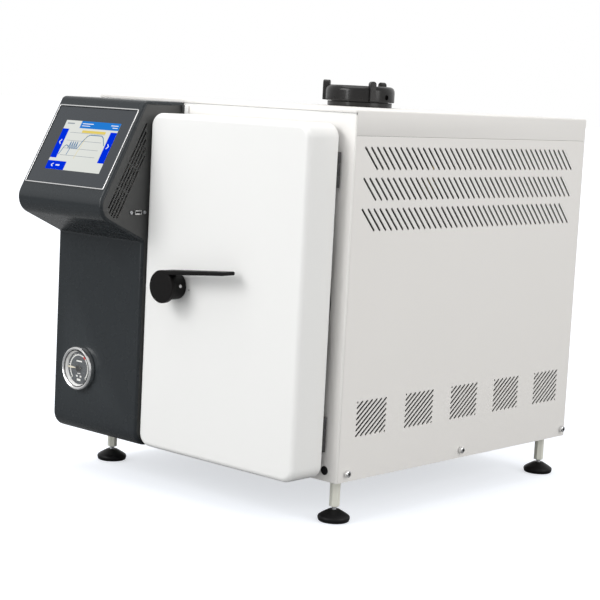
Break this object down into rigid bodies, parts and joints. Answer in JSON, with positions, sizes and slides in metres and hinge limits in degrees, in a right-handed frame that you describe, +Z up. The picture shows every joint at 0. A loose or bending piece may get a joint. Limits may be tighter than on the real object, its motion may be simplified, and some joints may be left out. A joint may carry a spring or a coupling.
{
  "type": "benchtop autoclave",
  "caption": "Front-loading bench steam autoclave: white cabinet, side-hinged door with turning handle, dark control column with slanted touch display and gauge, filler cap and levelling feet.",
  "frame": {"origin": "on the bench under the middle of the machine's outer box", "axes": "+Z up, door and display face -Y, +X to the right when facing the door"},
  "size_m": [0.5506, 0.756, 0.638],
  "materials": {
    "black_steel": "black coated steel",
    "powder_white": "fine texture powder coat",
    "zinc_steel": "zinc plated",
    "anthracite_gloss": "satin gloss lacquer",
    "anthracite_matt": "fine matt texture",
    "polished_steel": "bright",
    "display_glass": "printed cover glass",
    "circuit_board": "solder resist",
    "gauge_dial": "matt print",
    "needle_cream": "matt",
    "clear_glass": "clear",
    "stainless": "brushed",
    "silicone": "soft matt",
    "brass": "satin",
    "tank_plastic": "translucent white",
    "black_plastic": "moulded, light texture",
    "copper": "drawn tube",
    "door_white": "smooth satin white",
    "black_rubber": "moulded rubber",
    "spacer_cream": "semi matt"
  },
  "bodies": {
    "cabinet": {"base_chassis": "powder_white", "top_cover": "powder_white", "right_side_panel": "powder_white", "left_side_panel": "powder_white", "rear_panel": "powder_white", "front_fascia": "powder_white", "vessel_cradle": "zinc_steel", "latch_keeper": "zinc_steel", "control_shell": "anthracite_gloss", "control_cheek_right": "anthracite_matt", "control_cheek_left": "anthracite_matt", "hinge_bracket_upper": "black_steel", "hinge_bracket_lower": "black_steel", "display_trim": "polished_steel", "service_port": "polished_steel", "gauge_case": "polished_steel", "panel_screw_right_front": "polished_steel", "panel_screw_right_middle": "polished_steel", "panel_screw_right_rear": "polished_steel", "panel_screw_left_front": "polished_steel", "panel_screw_left_rear": "polished_steel", "touch_display": "display_glass", "main_board": "circuit_board", "gauge_dial": "gauge_dial", "gauge_lens": "clear_glass", "chamber_vessel": "stainless", "band_heater": "stainless", "door_seal": "silicone", "safety_valve": "brass", "solenoid_valve": "brass", "water_tank": "tank_plastic", "fill_pipe": "tank_plastic", "filler_neck": "black_plastic", "water_pump": "black_plastic", "power_inlet": "black_plastic", "switch_frame": "black_plastic", "steam_pipe": "copper", "door_bumper": "black_rubber", "foot_spacer_front_right": "spacer_cream", "foot_spacer_front_left": "spacer_cream", "foot_spacer_rear_right": "spacer_cream", "foot_spacer_rear_left": "spacer_cream"},
    "door": {"door_cover": "door_white", "door_plate": "zinc_steel", "door_liner": "stainless", "latch_plate": "zinc_steel", "hinge_leaf_upper": "black_steel", "hinge_leaf_lower": "black_steel"},
    "handle": {"door_handle": "black_plastic", "handle_set_screw": "polished_steel", "handle_shaft": "polished_steel"},
    "latch": {"latch_bolt": "zinc_steel"},
    "cap_seal": {"filler_cap_seal": "silicone"},
    "cap": {"filler_cap": "black_plastic"},
    "needle": {"gauge_needle": "needle_cream"},
    "rocker": {"rocker_switch": "black_plastic"},
    "foot_front_right": {"levelling_foot_front_right": "black_rubber"},
    "foot_front_left": {"levelling_foot_front_left": "black_rubber"},
    "foot_rear_right": {"levelling_foot_rear_right": "black_rubber"},
    "foot_rear_left": {"levelling_foot_rear_left": "black_rubber"}
  },
  "joints": [
    {"name": "door_swing", "type": "hinge", "parent": "cabinet", "child": "door", "pos_m": [0.2435, -0.22325, 0.32], "axis": [0, 0, 1], "range_deg": [0, 90]},
    {"name": "handle_turn", "type": "hinge", "parent": "door", "child": "handle", "pos_m": [0.001, -0.28935, 0.321], "axis": [0, 1, 0], "range_deg": [0, 80]},
    {"name": "latch_slide", "type": "slide", "parent": "door", "child": "latch", "axis": [-1, 0, 0], "range_m": [0, 0.012]},
    {"name": "cap_rise", "type": "slide", "parent": "cabinet", "child": "cap_seal", "axis": [0, 0, 1], "range_m": [0, 0.006]},
    {"name": "cap_turn", "type": "hinge", "parent": "cap_seal", "child": "cap", "pos_m": [-0.131, 0.26165, 0.6165], "axis": [0, 0, 1], "range_deg": [0, 540]},
    {"name": "needle_turn", "type": "hinge", "parent": "cabinet", "child": "needle", "pos_m": [-0.2058, -0.29735, 0.1665], "axis": [0, 1, 0], "range_deg": [-45, 225], "stiffness_Nm_per_rad": 0.003},
    {"name": "rocker_tilt", "type": "hinge", "parent": "cabinet", "child": "rocker", "pos_m": [-0.131, 0.35565, 0.1185], "axis": [-1, 0, 0], "range_deg": [0, 12]},
    {"name": "foot_level_front_right", "type": "slide", "parent": "cabinet", "child": "foot_front_right", "axis": [0, 0, -1], "range_m": [0, 0.012]},
    {"name": "foot_level_front_left", "type": "slide", "parent": "cabinet", "child": "foot_front_left", "axis": [0, 0, -1], "range_m": [0, 0.012]},
    {"name": "foot_level_rear_right", "type": "slide", "parent": "cabinet", "child": "foot_rear_right", "axis": [0, 0, -1], "range_m": [0, 0.012]},
    {"name": "foot_level_rear_left", "type": "slide", "parent": "cabinet", "child": "foot_rear_left", "axis": [0, 0, -1], "range_m": [0, 0.012]}
  ],
  "couplings": [
    {"joint": "latch_slide", "follows": "handle_turn", "m_per_rad": 0.0085944},
    {"joint": "cap_rise", "follows": "cap_turn", "m_per_rad": 0.00063662}
  ]
}
